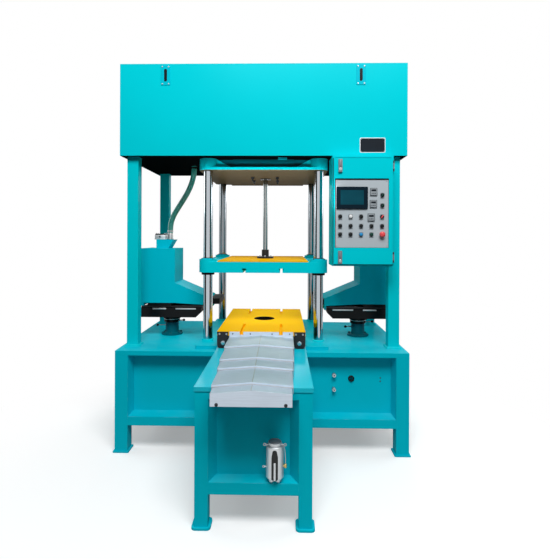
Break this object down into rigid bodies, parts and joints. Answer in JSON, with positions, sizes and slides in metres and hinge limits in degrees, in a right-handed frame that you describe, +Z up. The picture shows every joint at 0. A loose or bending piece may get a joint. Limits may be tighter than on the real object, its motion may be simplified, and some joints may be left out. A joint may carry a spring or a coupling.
{
  "type": "core shooting machine",
  "caption": "Four-column foundry core shooter with a hood on posts, a sliding trolley table, side shooting heads and a control cabinet.",
  "frame": {"origin": "floor level, at the middle of the machine's footprint", "axes": "+X to the right and +Y to the back as seen from the operator's side, +Z up"},
  "size_m": [2.07, 2.16, 2.755],
  "materials": {
    "teal_paint": "satin blue-green enamel",
    "hood_paint": "satin bright blue-green enamel",
    "deck_paint": "matt dark paint",
    "yellow_paint": "gloss yellow enamel",
    "chrome": "hard chrome",
    "stainless": "brushed stainless sheet",
    "black_paint": "satin black",
    "black_rubber": "matt rubber",
    "black_steel": "blackened steel",
    "aluminium": "cast aluminium",
    "panel_grey": "satin grey",
    "screen": "gloss dark screen in a grey bezel",
    "control_black": "black plastic",
    "stop_red": "red plastic",
    "hose_green": "clear greenish flexible hose"
  },
  "bodies": {
    "frame": {"feet": "teal_paint", "legs": "teal_paint", "base_rails": "teal_paint", "base_side_panels": "teal_paint", "base_front_back_panels": "teal_paint", "base_top_plate": "teal_paint", "bed_plate": "teal_paint", "table_rails": "teal_paint", "table_side_panels": "teal_paint", "table_front_panel": "teal_paint", "table_top": "teal_paint", "frame_posts": "hood_paint", "upper_deck": "deck_paint", "hood_front_panel": "hood_paint", "hood_rear_panel": "hood_paint", "hood_side_panels": "hood_paint", "hood_top_panel": "hood_paint", "guide_columns": "chrome", "column_flanges": "teal_paint", "top_platen": "teal_paint", "top_platen_face": "yellow_paint", "rod_gland": "black_steel", "clamp_cylinder": "teal_paint", "cover_section_5": "stainless", "control_cabinet": "teal_paint", "cabinet_hinges": "black_steel", "head_slides": "black_paint", "head_guide_rails": "chrome", "head_pedestals": "black_paint", "sand_hose": "hose_green", "air_filter": "aluminium", "panel_fittings": "chrome"},
    "platen": {"moving_platen": "teal_paint", "moving_platen_face": "yellow_paint", "platen_seals": "black_rubber", "rod_coupling": "black_steel", "piston_rod": "chrome"},
    "trolley": {"trolley_plate": "yellow_paint", "trolley_backing_plate": "yellow_paint", "trolley_side_plates": "yellow_paint", "trolley_slot_bars": "yellow_paint", "trolley_shoes": "black_steel", "cover_section_1": "stainless"},
    "cover_2": {"cover_section_2": "stainless"},
    "cover_3": {"cover_section_3": "stainless"},
    "cover_4": {"cover_section_4": "stainless"},
    "door": {"cabinet_door": "teal_paint", "operator_panel": "panel_grey", "touch_screen": "screen", "panel_controls": "control_black", "emergency_stop": "stop_red", "door_hardware": "chrome"},
    "left_head": {"left_head_housing": "teal_paint", "left_head_mouth": "black_rubber", "left_head_valve": "aluminium", "left_head_carriage": "black_paint"},
    "right_head": {"right_head_housing": "teal_paint", "right_head_mouth": "black_rubber", "right_head_valve": "aluminium", "right_head_carriage": "black_paint"}
  },
  "joints": [
    {"name": "platen_slide", "type": "slide", "parent": "frame", "child": "platen", "axis": [0, 0, 1], "range_m": [-0.15, 0.45]},
    {"name": "trolley_slide", "type": "slide", "parent": "frame", "child": "trolley", "axis": [0, -1, 0], "range_m": [-0.14, 0.5]},
    {"name": "cover_2_slide", "type": "slide", "parent": "frame", "child": "cover_2", "axis": [0, -1, 0], "range_m": [-0.098, 0.35]},
    {"name": "cover_3_slide", "type": "slide", "parent": "frame", "child": "cover_3", "axis": [0, -1, 0], "range_m": [-0.07, 0.25]},
    {"name": "cover_4_slide", "type": "slide", "parent": "frame", "child": "cover_4", "axis": [0, -1, 0], "range_m": [-0.014, 0.05]},
    {"name": "door_hinge", "type": "hinge", "parent": "frame", "child": "door", "pos_m": [0.9063, -0.095, 1.69], "axis": [0, 0, 1], "range_deg": [0, 110]},
    {"name": "left_head_slide", "type": "slide", "parent": "frame", "child": "left_head", "axis": [1, 0, 0], "range_m": [-0.046, 0.06]},
    {"name": "right_head_slide", "type": "slide", "parent": "frame", "child": "right_head", "axis": [-1, 0, 0], "range_m": [0, 0.106]}
  ],
  "couplings": [
    {"joint": "cover_2_slide", "follows": "trolley_slide", "ratio": 0.7},
    {"joint": "cover_3_slide", "follows": "trolley_slide", "ratio": 0.5},
    {"joint": "cover_4_slide", "follows": "trolley_slide", "ratio": 0.1}
  ]
}
